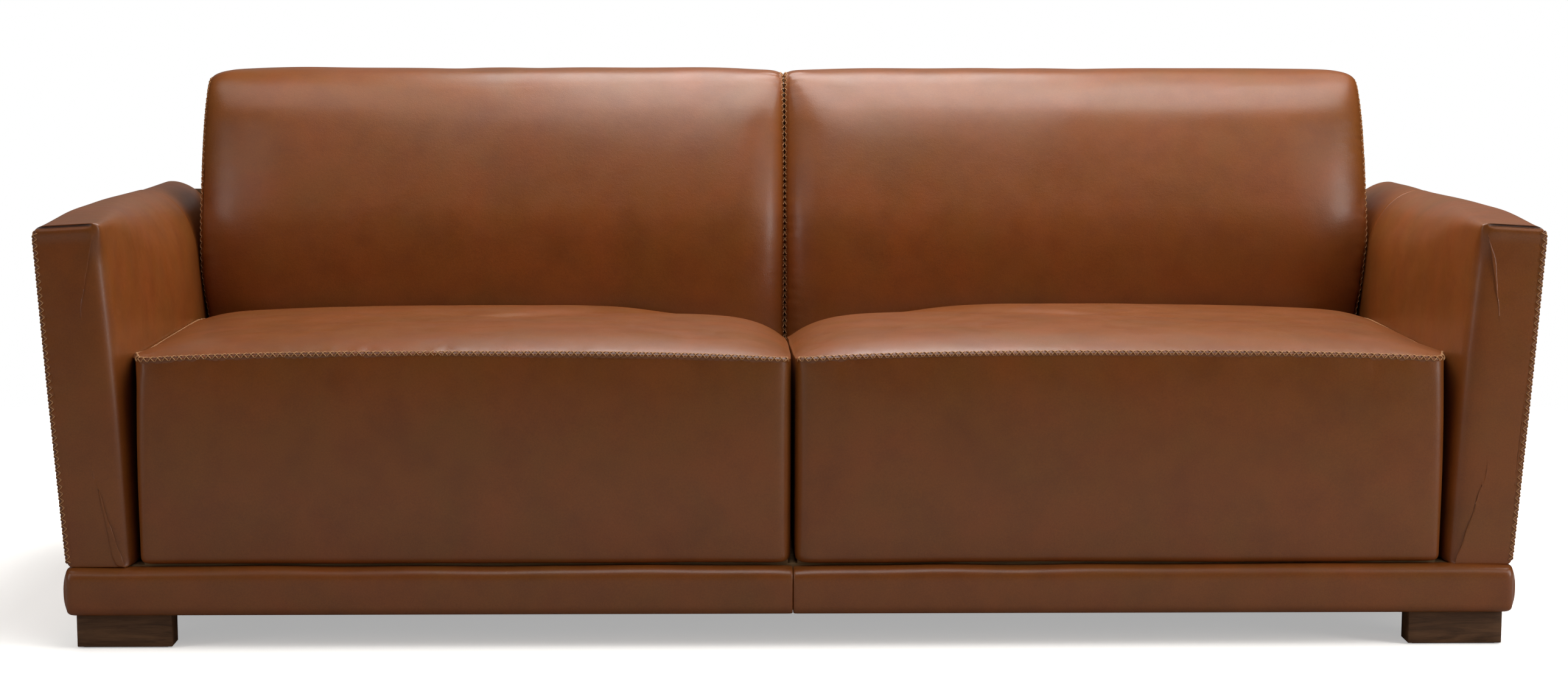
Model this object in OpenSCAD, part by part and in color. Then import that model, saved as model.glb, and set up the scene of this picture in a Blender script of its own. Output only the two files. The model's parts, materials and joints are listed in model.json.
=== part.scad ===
// Two-seat sofa: fixed seat and back cushions between leaning slab arms,
// all upholstered in leather, on a padded plinth with low, wide wooden block legs.
// Millimetres. Origin at the middle of the footprint, on the floor.
// +X to the right when facing the sofa, -Y is the front, +Z is up.

/* [Overall] */
// Width across the tops of the arms
sofa_w = 2200; // [2000:10:2600]
// Depth from the plinth's face to the outer back
sofa_d = 920; // [880:5:980]
// Height to the top of the back cushions
sofa_h = 826; // [790:1:880]

/* [Legs] */
// Height of a leg, floor pad included
leg_h = 50; // [40:1:80]
// Width of a leg, along X
leg_w = 139; // [100:1:160]
// Thickness of a leg, along Y
leg_t = 42; // [36:1:50]
// Distance from the plinth's end to the leg
leg_inset = 17; // [10:1:40]
// Thickness of the felt pad under a leg
pad_t = 2; // [1:0.5:4]

/* [Plinth] */
// Height of the padded plinth
plinth_h = 70; // [60:1:90]
// How far the plinth's ends stand in from the tops of the arms
plinth_in = 32; // [24:1:50]
// How far the plinth's face stands in front of the arms
plinth_proud = 20; // [10:1:30]
// Thickness of the plinth's padding at the front and the ends
plinth_pad = 36; // [30:1:45]
// Rounding of the plinth's outer edges
plinth_r = 16; // [8:1:20]

/* [Arms] */
// Height of the arms
arm_h = 626; // [580:1:660]
// Thickness of an arm
arm_t = 98; // [80:1:120]
// How far the top of an arm leans outwards over its base
arm_lean = 36; // [10:1:50]
// Length of the arm's front section, up to its seam
arm_seam = 660; // [600:5:700]
// Rounding along the arm's outer top edge
arm_r_out = 18; // [10:1:24]
// Rounding along the arm's inner top edge
arm_r_in = 50; // [30:1:60]

/* [Seat] */
// Height of the stitched seam along the seat's front edge
seat_h = 430; // [400:1:460]
// Rise of the seat's crown above its seam
seat_crown = 42; // [20:1:60]
// Depth of a seat unit
seat_d = 598; // [560:1:600]
// Gap between a seat unit and the arm, at its base
seat_gap = 8; // [4:1:12]

/* [Back] */
// Angle of the back's face from the vertical
back_tilt = 15; // [8:1:18]
// Height at which a back cushion starts, behind the seat
back_base = 290; // [260:5:320]
// Width across both back cushions
back_w = 1978; // [1900:2:1980]
// Rounding of a back cushion's outer top corners
back_r = 46; // [30:1:60]
// Height of the low wall behind the cushions
wall_h = 616; // [600:1:620]

/* [Materials] */
// Thickness of leather with its wadding
skin = 3; // [2:0.5:4]
// Thickness of the frame boards
board = 25; // [20:1:25]
// Radius of the frame bolts
bolt_r = 4; // [3:0.5:5]

/* [Hidden] */
$fn = 48;
LEATHER = "sienna";
TIMBER = "burlywood";
WALNUT = "#3b281a";
FOAM = "khaki";
STEEL = "silver";
WEB = "dimgray";

fit = 0.3;                              // clearance between neighbouring pieces
base_z = leg_h + plinth_h;              // top of the plinth and its frame
front = -sofa_d / 2 + plinth_proud;     // plane of the arms' faces
rear = sofa_d / 2;                      // plane of the outer back

// Plinth and base frame
plinth_x = sofa_w / 2 - plinth_in;                  // outer end of the plinth
end_rail_x = plinth_x - plinth_pad - board - 2;     // inner face of an end rail
front_rail_y = -sofa_d / 2 + plinth_pad + 2;        // front face of the front rail
rear_rail_y = rear - 10 - board;                    // inner face of the rear rail
rail_mid_y = front_rail_y + board / 2;
rear_mid_y = rear_rail_y + board / 2;
cross_dx = 480;                                     // from the middle to an outer cross rail
cross_x = [-cross_dx, 0, cross_dx];                 // middles of the cross rails
block = 80;                                         // leg length of a corner block
cover_t = 0.8;                                      // thickness of the dust cover

// Legs
leg_x = plinth_x - leg_inset - leg_w / 2;           // middle of a leg
leg_front_y = front - 3 + leg_t / 2;
leg_rear_y = rear_mid_y - 5;
leg_bolt_dx = 33;                                   // bolts to either side of the middle
leg_bolt_grip = 40;                                 // how far a leg's bolt runs into the base
centre_leg = 60;                                    // side of the square centre leg
pad_edge = 8;                                       // from a leg's side to its felt pad

// Arms: an outline across the arm's thickness, u outwards and v up, which leans outwards
arm_x = sofa_w / 2 - arm_lean - arm_t / 2;          // middle of the arm at its base
arm_rise = arm_h - base_z;
facing_t = 12;                                      // depth of the padded panel on the arm's face
seam_y = front + arm_seam;                          // where the wing starts behind the arm
wing_end = rear - 10;
frame_u = [-12, 28];                                // span of the timber across the arm
panel_t = 3;                                        // thickness of the boards on the timber
arm_y0 = front + facing_t + 1;                      // front and rear of the arm's inside
arm_y1 = wing_end - 1;
rail_v = 22;                                        // height of the arm's timber rails
rail_top = arm_rise - 60;                           // underside of the arm's top rail
upright_w = 30;                                     // width of an upright inside the arm

// Seat
seat_x1 = arm_x - arm_t / 2 - seat_gap;             // outer side of a seat unit
seat_x0 = 3;                                        // inner side, beside the middle gap
seat_y1 = front + seat_d;
seat_board = 22;
seat_deck = 262;                                    // top of the seat's frame
strap_t = 2;                                        // thickness of the webbing
strap_w = 60;                                       // width of a strap
seat_in = 4;                                        // from the cover's outside to the frame
seat_straps = 7;                                    // straps under each seat
strap_margin = 67;                                  // from the seat's inner side to its first strap
strap_pitch = 128;
seat_bolt_x = [-750, -250, 250, 750];               // seat bolts along the front rail
seat_bolt_grip = 20;                                // how far they run into the seat's frame
bolt_head = 3;                                      // how much wider a bolt's head is than its shank
bolt_head_h = 6;

// Back
tilt_z = 440;                                       // height where the back starts to recline
back_y0 = seat_y1 + 7;                              // face of the back cushion, low down
back_y1 = rear_rail_y - 4;                          // rear of the cushion, below the wall's top
back_y2 = back_y1 + 18;                             // rear of the cushion, above the wall
back_x1 = back_w / 2;
back_x0 = 3;
top_r = 55;                                         // rounding of the top front edge
top_r2 = 40;                                        // rounding of the top rear edge
back_room = 6;                                      // from the cushion's side to the leaning arm
post_x = [-915, -430, -75, 75, 430, 915];           // middles of the posts
post_w = 50;
post_top = wall_h - 46;
top_rail_x = 945;                                   // half the length of the top rail
top_rail_h = 24;
wall_pad_r = 12;                                    // rounding of the wall's top pad
wall_pad_x = 960;                                   // half the length of the wall's top pad
strap_z = [230, 320, 410, 500];                     // lower edges of the back's straps
strap_x = [52, 938];                                // ends of the back's straps

// ---- helpers ------------------------------------------------------------------------

// Draws the children's (x, z) outline along Y, from y0 to y1
module along_y(y0, y1) translate([0, y1, 0]) rotate([90, 0, 0]) linear_extrude(y1 - y0) children();

// Draws the children's (y, z) outline along X, from x0 to x1
module along_x(x0, x1) translate([x0, 0, 0]) rotate([90, 0, 90]) linear_extrude(x1 - x0) children();

// A box from its low corner to its high corner
module span(a, b) translate(a) cube(b - a);

// Draws the children as they are for the right side, and mirrored for the left
module sided(side) mirror([side < 0 ? 1 : 0, 0, 0]) children();

// Both sides at once
module both() for (side = [-1, 1]) sided(side) children();

function arc(c, r, a0, a1, n = 8) =
    [for (k = [0:n]) let (a = a0 + (a1 - a0) * k / n) c + r * [cos(a), sin(a)]];

// A crowned top from p to q: it rises by `rise` between them, flatter for a larger power
function crown(p, q, z, rise, power, n = 20) =
    [for (k = [0:n]) let (t = k / n) [p + (q - p) * t, z + rise * (1 - pow(abs(2 * t - 1), power))]];

// ---- legs ---------------------------------------------------------------------------

// Upright bolts that hold one leg
module leg_bolt_pair(x, y, r, z0, z1)
    for (dx = [-leg_bolt_dx, leg_bolt_dx]) translate([x + dx, y, z0]) cylinder(r = r, h = z1 - z0);

module leg(x, y, bolt_y) color(WALNUT) difference() {
    span([x - leg_w / 2, y - leg_t / 2, pad_t], [x + leg_w / 2, y + leg_t / 2, leg_h]);
    leg_bolt_pair(x, bolt_y, bolt_r, leg_h / 2, leg_h + 1);
}

module leg_centre() color(WALNUT) difference() {
    span([-centre_leg / 2, -centre_leg / 2, pad_t], [centre_leg / 2, centre_leg / 2, leg_h]);
    translate([0, 0, leg_h / 2]) cylinder(r = bolt_r, h = leg_h);
}

// A felt pad under a leg of size w by t
module felt(x, y, w, t)
    span([x - w / 2 + pad_edge, y - t / 2 + pad_edge, 0],
        [x + w / 2 - pad_edge, y + t / 2 - pad_edge, pad_t]);

module floor_pads() color(WEB) {
    for (x = [-leg_x, leg_x], y = [leg_front_y, leg_rear_y]) felt(x, y, leg_w, leg_t);
    felt(0, 0, centre_leg, centre_leg);
}

// Every bolt that joins a leg to the base
module leg_bolt_set(r) {
    top = leg_h + leg_bolt_grip;
    for (x = [-leg_x, leg_x], y = [rail_mid_y, rear_mid_y]) leg_bolt_pair(x, y, r, leg_h / 2, top);
    translate([0, 0, leg_h / 2]) cylinder(r = r, h = top - leg_h / 2);
}

module leg_bolts() color(STEEL) leg_bolt_set(bolt_r);

// ---- base frame ---------------------------------------------------------------------

// Bolts from the base up into the seat frames: four along the front, two in the cross rails
module seat_bolt_set(r, head) {
    spots = concat([for (x = seat_bolt_x) [x, rail_mid_y]],
                   [for (x = [cross_x[0], cross_x[2]]) [x, seat_y1 - seat_in - seat_board / 2]]);
    for (s = spots) translate([s.x, s.y, leg_h]) {
        translate([0, 0, bolt_head_h]) cylinder(r = r, h = plinth_h + seat_bolt_grip);
        cylinder(r = head, h = bolt_head_h);
    }
}

module seat_bolts() color(STEEL) seat_bolt_set(bolt_r, bolt_r + bolt_head);

// Bolts from the end rails up into the arms, with their washers in a counterbore
arm_bolt_y = [front + 60, front + 340, seam_y - 40];
arm_bolt_x = end_rail_x + board / 2;
washer_r = bolt_r + 5;
washer_t = 1.5;
bore_z = leg_h + 8;                                 // top of the counterbore

module arm_bolt_spots() both() for (y = arm_bolt_y) translate([arm_bolt_x, y, 0]) children();

module arm_bolts() color(STEEL) arm_bolt_spots() {
    translate([0, 0, bore_z - washer_t]) cylinder(r = bolt_r, h = base_z + 18 - bore_z);
    translate([0, 0, bore_z - washer_t - 5]) cylinder(r = bolt_r + 2.5, h = 5);
}

module arm_washers() color(STEEL) arm_bolt_spots() translate([0, 0, bore_z - washer_t])
    difference() {
        cylinder(r = washer_r, h = washer_t);
        translate([0, 0, -1]) cylinder(r = bolt_r + fit, h = washer_t + 2);
    }

// Screws through the plates that join the back's posts to the base
screw_r = 2.2;
plate_t = 3;
plate_w = 40;
plate_h = 104;
plate_y = rear_rail_y - plate_t;
screw_grip = 14;                                    // how far a screw runs into the timber
screw_head = 2;                                     // height of its head

// Puts the children at every screw, against the plates and facing the rear
module screw_spots() for (x = post_x, dx = [-10, 10], dz = [-40, -18, 18, 40])
    translate([x + dx, plate_y, base_z + dz]) rotate([-90, 0, 0]) children();

module screw_set(r, extra) screw_spots()
    translate([0, 0, -extra]) cylinder(r = r, h = plate_t + extra + screw_grip);

// A rail along the whole base, with its front face at y
module long_rail(y) {
    x = plinth_x - plinth_pad - 2;
    span([-x, y, leg_h], [x, y + board, base_z]);
}

module base_front_rail() color(TIMBER) difference() {
    long_rail(front_rail_y);
    leg_bolt_set(bolt_r);
    seat_bolt_set(bolt_r, bolt_r + bolt_head);
}

module base_rear_rail() color(TIMBER) difference() {
    long_rail(rear_rail_y);
    leg_bolt_set(bolt_r);
    screw_set(screw_r, 0);
}

module base_end_rails() color(TIMBER) difference() {
    both() span([end_rail_x, front_rail_y + board, leg_h], [end_rail_x + board, rear_rail_y, base_z]);
    arm_bolt_spots() cylinder(r = bolt_r, h = base_z + 1);
    arm_bolt_spots() cylinder(r = washer_r, h = bore_z);
}

module base_cross_rails() color(TIMBER) difference() {
    for (x = cross_x)
        span([x - board / 2, front_rail_y + board, leg_h], [x + board / 2, rear_rail_y, base_z]);
    leg_bolt_set(bolt_r);
    seat_bolt_set(bolt_r, bolt_r + bolt_head);
}

module corner_blocks() color(TIMBER) both() {
    x = end_rail_x;
    y0 = front_rail_y + board;
    translate([0, 0, leg_h + 5]) linear_extrude(plinth_h - 10) {
        polygon([[x, y0], [x - block, y0], [x, y0 + block]]);
        polygon([[x, rear_rail_y], [x - block, rear_rail_y], [x, rear_rail_y - block]]);
    }
}

// ---- plinth -------------------------------------------------------------------------

// Outline of the padding across its thickness: t deep, rounded on its outer side at s = 0
function pad_outline(t, h, r) =
    concat([[t, 0]], [[t, h]], arc([r, h - r], r, 90, 180), arc([r, r], r, 180, 270));

module plinth_front() color(LEATHER) intersection() {
    along_x(-plinth_x, plinth_x) translate([-sofa_d / 2, leg_h])
        polygon(pad_outline(plinth_pad, plinth_h, plinth_r));
    translate([0, 0, leg_h]) linear_extrude(plinth_h) polygon(concat(
        arc([-plinth_x + plinth_r, -sofa_d / 2 + plinth_r], plinth_r, 180, 270),
        arc([plinth_x - plinth_r, -sofa_d / 2 + plinth_r], plinth_r, 270, 360),
        [[plinth_x, 0], [-plinth_x, 0]]));
}

module plinth_end(side) color(LEATHER) sided(side)
    along_y(-sofa_d / 2 + plinth_pad + fit, rear - 10 - fit)
        translate([plinth_x, leg_h]) mirror([1, 0]) polygon(pad_outline(plinth_pad, plinth_h, plinth_r));

module plinth_rear() color(LEATHER)
    span([-plinth_x, rear - 10, leg_h], [plinth_x, rear - 2, base_z - 1]);

module dust_cover() color(WEB) difference() {
    cut = centre_leg / 2 + 2;
    span([-end_rail_x, front_rail_y + board, leg_h - cover_t], [end_rail_x, rear_rail_y - 24, leg_h]);
    span([-cut, -cut, 0], [cut, cut, base_z]);
}

// ---- seat ---------------------------------------------------------------------------

// The seat unit's outer form, shrunk by `i` and reaching down to z0
module seat_form(i, z0) intersection() {
    along_x(seat_x0 + i, seat_x1 - i) polygon(concat(
        [[front + i, z0]], crown(front + i, seat_y1 - i, seat_h - i, seat_crown, 2.4), [[seat_y1 - i, z0]]));
    along_y(front + i, seat_y1 - i) polygon(concat(
        [[seat_x0 + i, z0]], crown(seat_x0 + i, seat_x1 - i, seat_h - i, seat_crown, 6),
            [[seat_x1 - i, z0]]));
}

module seat_cushion(side) color(LEATHER) sided(side) difference() {
    seat_form(0, base_z + 3);
    seat_form(skin, base_z);
}

module seat_foam(side) color(FOAM) sided(side) intersection() {
    seat_form(skin + fit, base_z);
    span([0, front, seat_deck + strap_t], [seat_x1, seat_y1, sofa_h]);
}

module seat_frame(side) color(TIMBER) sided(side) difference() {
    x0 = seat_x0 + seat_in;
    x1 = seat_x1 - seat_in;
    y0 = front_rail_y + 1;
    y1 = seat_y1 - seat_in;
    union() {
        span([x0, y0, base_z], [x1, y0 + seat_board, seat_deck]);
        span([x0, y1 - seat_board, base_z], [x1, y1, seat_deck]);
        for (x = [x0, x1 - seat_board]) span([x, y0, base_z], [x + seat_board, y1, seat_deck]);
    }
    seat_bolt_set(bolt_r, bolt_r + bolt_head);
}

module seat_webbing(side) color(WEB) sided(side) for (k = [0:seat_straps - 1]) {
    x = seat_x0 + strap_margin + strap_pitch * k;
    span([x, front_rail_y + 1, seat_deck], [x + strap_w, seat_y1 - seat_in, seat_deck + strap_t]);
}

// ---- back ---------------------------------------------------------------------------

// Side outline of a back cushion, shrunk by `i` and reaching down to z0
function back_side(i, z0) =
    let (slope = tan(back_tilt),
         zc = sofa_h - top_r,
         touch = zc + top_r * sin(180 - back_tilt),
         yc = back_y0 + (touch - tilt_z) * slope + top_r * cos(back_tilt))
    concat([[back_y0 + i, z0], [back_y0 + i, tilt_z]],
           arc([yc, zc], top_r - i, 180 - back_tilt, 90),
           arc([back_y2 - top_r2, sofa_h - top_r2], top_r2 - i, 90, 0),
           [[back_y2 - i, wall_h + 24 + i], [back_y1 - i, wall_h + 4 + i], [back_y1 - i, z0]]);

// Inner side of the leaning arm at a height z
function arm_inside(z) = arm_x - arm_t / 2 + arm_lean * (z - base_z) / arm_rise;

// Front outline of a back cushion: its lower part follows the lean of the arm
function back_front(i, z0) =
    concat([[back_x0 + i, z0]],
           arc([back_x0 + 16, sofa_h - 16], 16 - i, 180, 90),
           arc([back_x1 - back_r, sofa_h - back_r], back_r - i, 90, 0),
           [[back_x1 - i, wall_h], [arm_inside(tilt_z) - back_room - i, tilt_z],
            [arm_inside(back_base) - back_room - i, z0]]);

module back_form(i, z0) intersection() {
    along_x(back_x0, back_x1) polygon(back_side(i, z0));
    along_y(back_y0, back_y2) polygon(back_front(i, z0));
}

module back_cushion(side) color(LEATHER) sided(side) difference() {
    back_form(0, back_base);
    back_form(skin, back_base - 5);
}

module back_foam(side) color(FOAM) sided(side) back_form(skin + fit, back_base + 4);

module back_posts() color(TIMBER) difference() {
    for (x = post_x)
        span([x - post_w / 2, rear_rail_y, base_z], [x + post_w / 2, rear_rail_y + board, post_top]);
    screw_set(screw_r, 0);
}

module back_top_rail() color(TIMBER)
    span([-top_rail_x, rear_rail_y, post_top], [top_rail_x, rear_rail_y + board, post_top + top_rail_h]);

module back_webbing(side) color(WEB) sided(side) for (z = strap_z)
    span([strap_x[0], rear_rail_y - strap_t, z], [strap_x[1], rear_rail_y, z + strap_w]);

module joining_plates() color(STEEL) difference() {
    for (x = post_x)
        span([x - plate_w / 2, plate_y, base_z - plate_h / 2],
            [x + plate_w / 2, rear_rail_y, base_z + plate_h / 2]);
    screw_set(screw_r, 1);
}

// A screw's head lies against the plate, and its shank runs into the timber
module plate_screws() color(STEEL) {
    screw_set(screw_r, 0);
    screw_spots() translate([0, 0, -screw_head]) cylinder(r = 2 * screw_r, h = screw_head);
}

// Leather-covered pad along the top of the low wall, between the arms
module wall_top_pad() color(LEATHER)
    along_x(-wall_pad_x, wall_pad_x) polygon(concat(
        [[back_y1 + 1, post_top + top_rail_h + fit]],
        arc([back_y1 + 1 + wall_pad_r, wall_h - wall_pad_r], wall_pad_r, 180, 90),
        [[wing_end, wall_h], [wing_end, post_top + top_rail_h + fit]]));

// Outline of the outer back, shrunk by `i`
function back_outline(i) =
    let (x0 = arm_x + arm_t / 2 - i, x1 = x0 + arm_lean, z = wall_h + 2 - i)
    [[-x0, base_z + i], [x0, base_z + i], [x1 - 2, z - 20], [x1 - 18, z],
     [-x1 + 18, z], [-x1 + 2, z - 20]];

module back_board() color(TIMBER) along_y(wing_end + fit, wing_end + 4) polygon(back_outline(6));

module outer_back() color(LEATHER) along_y(wing_end + 4 + fit, rear) polygon(back_outline(0));

// ---- arms ---------------------------------------------------------------------------

// Leans a list of (u, v) points outwards and puts it in its place
function leaned(points) =
    [for (p = points) [arm_x + p.x + arm_lean * p.y / arm_rise, base_z + p.y]];

// The arm's outline, shrunk by `i`, from v0 up
function arm_outline(i, v0) =
    concat([[-arm_t / 2 + i, v0], [arm_t / 2 - i, v0]],
           arc([arm_t / 2 - arm_r_out, arm_rise - arm_r_out], arm_r_out - i, 0, 90),
           arc([-arm_t / 2 + arm_r_in, arm_rise - arm_r_in], arm_r_in - i, 90, 180));

// A leaning board across u0..u1 and v0..v1
function slab(u0, u1, v0, v1) = leaned([[u0, v0], [u1, v0], [u1, v1], [u0, v1]]);

// Leather sleeve around the arm, open underneath and at its ends
module arm_sleeve(y0, y1) along_y(y0, y1) difference() {
    polygon(leaned(arm_outline(0, 1)));
    polygon(leaned(arm_outline(skin, -5)));
}

module arm_facing(side) color(LEATHER) sided(side)
    along_y(front, front + facing_t) polygon(leaned(arm_outline(0, 1)));

module arm_cover(side) color(LEATHER) sided(side) arm_sleeve(front + facing_t + fit, seam_y);

module arm_wing(side) color(LEATHER) sided(side) arm_sleeve(seam_y + fit, wing_end);

module arm_foam(side) color(FOAM) sided(side) along_y(arm_y0, arm_y1) difference() {
    polygon(leaned(arm_outline(skin + fit, 2)));
    polygon(slab(frame_u[0] - panel_t - fit, frame_u[1] + panel_t + fit, -5, rail_top + rail_v + fit));
}

module arm_panels(side) color(TIMBER) sided(side) along_y(arm_y0, arm_y1) {
    polygon(slab(frame_u[0] - panel_t, frame_u[0], 2, rail_top + rail_v));
    polygon(slab(frame_u[1], frame_u[1] + panel_t, 2, rail_top + rail_v));
}

module arm_frame(side) color(TIMBER) sided(side) difference() {
    union() {
        along_y(arm_y0, arm_y1) {
            polygon(slab(frame_u[0], frame_u[1], 0, rail_v));
            polygon(slab(frame_u[0], frame_u[1], rail_top, rail_top + rail_v));
        }
        for (k = [0:3]) {
            y = arm_y0 + k * (arm_y1 - arm_y0 - upright_w) / 3;
            along_y(y, y + upright_w) polygon(slab(frame_u[0], frame_u[1], rail_v, rail_top));
        }
    }
    for (y = arm_bolt_y) translate([arm_bolt_x, y, 0]) cylinder(r = bolt_r, h = base_z + 17);
}

// ---- the parts ----------------------------------------------------------------------

leg(-leg_x, leg_front_y, rail_mid_y);  // leg_front_left
leg(leg_x, leg_front_y, rail_mid_y);  // leg_front_right
leg(-leg_x, leg_rear_y, rear_mid_y);  // leg_rear_left
leg(leg_x, leg_rear_y, rear_mid_y);  // leg_rear_right
leg_centre();
floor_pads();
leg_bolts();
base_front_rail();
base_rear_rail();
base_end_rails();
base_cross_rails();
corner_blocks();
plinth_front();
plinth_end(-1);  // plinth_left
plinth_end(1);  // plinth_right
plinth_rear();
dust_cover();
seat_frame(-1);  // seat_frame_left
seat_frame(1);  // seat_frame_right
seat_webbing(-1);  // seat_webbing_left
seat_webbing(1);  // seat_webbing_right
seat_foam(-1);  // seat_foam_left
seat_foam(1);  // seat_foam_right
seat_cushion(-1);  // seat_cushion_left
seat_cushion(1);  // seat_cushion_right
seat_bolts();
back_posts();
back_top_rail();
back_webbing(-1);  // back_webbing_left
back_webbing(1);  // back_webbing_right
back_foam(-1);  // back_foam_left
back_foam(1);  // back_foam_right
back_cushion(-1);  // back_cushion_left
back_cushion(1);  // back_cushion_right
joining_plates();
plate_screws();
wall_top_pad();
back_board();
outer_back();
arm_frame(-1);  // arm_frame_left
arm_frame(1);  // arm_frame_right
arm_panels(-1);  // arm_panels_left
arm_panels(1);  // arm_panels_right
arm_foam(-1);  // arm_foam_left
arm_foam(1);  // arm_foam_right
arm_cover(-1);  // arm_cover_left
arm_cover(1);  // arm_cover_right
arm_facing(-1);  // arm_facing_left
arm_facing(1);  // arm_facing_right
arm_wing(-1);  // arm_wing_left
arm_wing(1);  // arm_wing_right
arm_bolts();
arm_washers();
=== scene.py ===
"""Looks of the two-seat leather sofa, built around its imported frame. All sizes are in metres."""
import json
import math
import bpy
import numpy as np
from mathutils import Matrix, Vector
from mathutils.bvhtree import BVHTree
from mathutils.kdtree import KDTree

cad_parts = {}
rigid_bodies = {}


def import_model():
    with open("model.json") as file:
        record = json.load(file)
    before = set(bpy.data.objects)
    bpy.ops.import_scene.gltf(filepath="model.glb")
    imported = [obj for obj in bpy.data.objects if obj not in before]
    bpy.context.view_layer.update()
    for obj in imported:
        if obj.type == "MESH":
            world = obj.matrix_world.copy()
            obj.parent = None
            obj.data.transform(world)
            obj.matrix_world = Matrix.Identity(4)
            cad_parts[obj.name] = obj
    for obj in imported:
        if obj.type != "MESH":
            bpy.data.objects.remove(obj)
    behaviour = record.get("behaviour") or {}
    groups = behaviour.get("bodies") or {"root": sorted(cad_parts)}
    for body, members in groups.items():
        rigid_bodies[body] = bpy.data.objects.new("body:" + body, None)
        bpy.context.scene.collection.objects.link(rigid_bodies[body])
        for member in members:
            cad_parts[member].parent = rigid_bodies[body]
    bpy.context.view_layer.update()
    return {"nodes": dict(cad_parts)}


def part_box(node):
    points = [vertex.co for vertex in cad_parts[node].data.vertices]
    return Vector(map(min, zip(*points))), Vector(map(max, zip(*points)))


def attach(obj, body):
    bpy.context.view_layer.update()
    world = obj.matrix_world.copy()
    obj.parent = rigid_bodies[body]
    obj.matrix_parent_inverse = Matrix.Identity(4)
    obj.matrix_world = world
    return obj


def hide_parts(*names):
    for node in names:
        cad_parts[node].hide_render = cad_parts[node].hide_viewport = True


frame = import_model()

MM = 0.001
PITCH = 10.4 * MM           # length of one cross-stitch
STITCH = 4.6 * MM           # from the seam to a stitch hole
THREAD = 0.66 * MM          # radius of the thread
SMOOTH_LEVELS = 1
CELL_RINGS = 8              # rings along one cross-stitch
SEAM_STEP = PITCH / CELL_RINGS
ON_END = 0.999              # past this, a lattice point lies on an end of its axis


# ---- numbers -------------------------------------------------------------------------

def corners(node):
    """A CAD node's lowest and highest corners."""
    low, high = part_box(node)
    return np.array(low), np.array(high)


def smoothstep(low, high, x):
    t = np.clip((x - low) / (high - low), 0, 1)
    return t * t * (3 - 2 * t)


def mix(a, b, t):
    return a + (b - a) * t


def unit(vectors):
    return vectors / np.maximum(np.linalg.norm(vectors, axis=-1, keepdims=True), 1e-9)


def noise(points, size, seed):
    """Smooth noise from -1 to 1, whose lumps are about `size` across."""
    table = np.random.RandomState(seed).uniform(-1, 1, (16, 16, 16))
    p = points / size + 100.0
    cell = np.floor(p).astype(int)
    f = p - cell
    f = f * f * (3 - 2 * f)
    total = 0
    for corner in np.ndindex(2, 2, 2):
        weight = np.prod(np.where(corner, f, 1 - f), axis=1)
        i, j, k = ((cell + corner) % 16).T
        total = total + weight * table[i, j, k]
    return total


def steps(length, edge, middle):
    """Places from -1 to 1 along a length, with small steps near both ends."""
    while len(edge) > 1 and 2 * sum(edge) > 0.9 * length:
        edge = edge[:-1]
    inner = length - 2 * sum(edge)
    count = max(2, round(inner / middle))
    sizes = list(edge) + [inner / count] * count + list(edge)[::-1]
    places = np.concatenate([[0.0], np.cumsum(sizes)])
    return 2 * places / places[-1] - 1


def rounded(a, b, half_a, half_b, radius_a, radius_b):
    """Puts points of a square's edge on a rectangle with round corners.

    Returns the two coordinates and the outward direction. The radii may differ from
    corner to corner, so that they are one number per point. One corner of a side may
    reach past the middle of that side, where its points are given its radius.
    """
    half = np.stack([np.broadcast_to(half_a, a.shape), np.broadcast_to(half_b, a.shape)], 1)
    radius = np.stack([np.broadcast_to(radius_a, a.shape), np.broadcast_to(radius_b, a.shape)], 1)
    q = np.stack([a, b], 1) * half
    limit = half - radius
    centre = np.where(q < -limit, -limit, np.minimum(q, limit))
    out = unit((q - centre) / radius)
    return centre + out * radius, unit(out / radius)


# ---- forms ---------------------------------------------------------------------------

class Lattice:
    """The skin of a block of grid points, each with its own u, v, w from -1 to 1."""

    def __init__(self, us, vs, ws):
        self.axes = (us, vs, ws)
        shape = tuple(len(axis) for axis in self.axes)
        index = np.indices(shape)
        on_skin = np.zeros(shape, bool)
        for axis, count in enumerate(shape):
            on_skin |= (index[axis] == 0) | (index[axis] == count - 1)
        self.ids = np.full(shape, -1)
        self.ids[on_skin] = np.arange(on_skin.sum())
        self.uvw = np.stack([axis[i[on_skin]] for axis, i in zip(self.axes, index)], axis=1)

    def faces(self, flipped=False):
        quads = []
        for axis in range(3):
            for end in (0, -1):
                q = np.take(self.ids, end, axis=axis)
                if axis == 1:
                    q = q.T
                ring = [q[:-1, :-1], q[1:, :-1], q[1:, 1:], q[:-1, 1:]]
                if (end == 0) != flipped:
                    ring.reverse()
                quads.append(np.stack([r.ravel() for r in ring], axis=1))
        return np.concatenate(quads)

    def carried(self, values, new):
        """One vector per point of this lattice, carried over to the points of a new one."""
        block = np.zeros(self.ids.shape + (3,))
        block[self.ids >= 0] = values
        for axis in range(3):
            old_places, new_places = self.axes[axis], new.axes[axis]
            block = np.apply_along_axis(lambda line: np.interp(new_places, old_places, line), axis, block)
        return block[new.ids >= 0]


def ring_of(uvw):
    """Splits a lattice's u, v into a place on the square's edge and a share of the way out to it."""
    share = np.maximum(np.abs(uvw[:, 0]), np.abs(uvw[:, 1]))
    share = np.where(np.abs(uvw[:, 2]) < 1, 1.0, share)
    edge = uvw[:, :2] / np.maximum(share, 1e-6)[:, None]
    edge = np.where(share[:, None] < 1e-6, [[1.0, 1.0]], edge)
    return edge[:, 0], edge[:, 1], share


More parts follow.
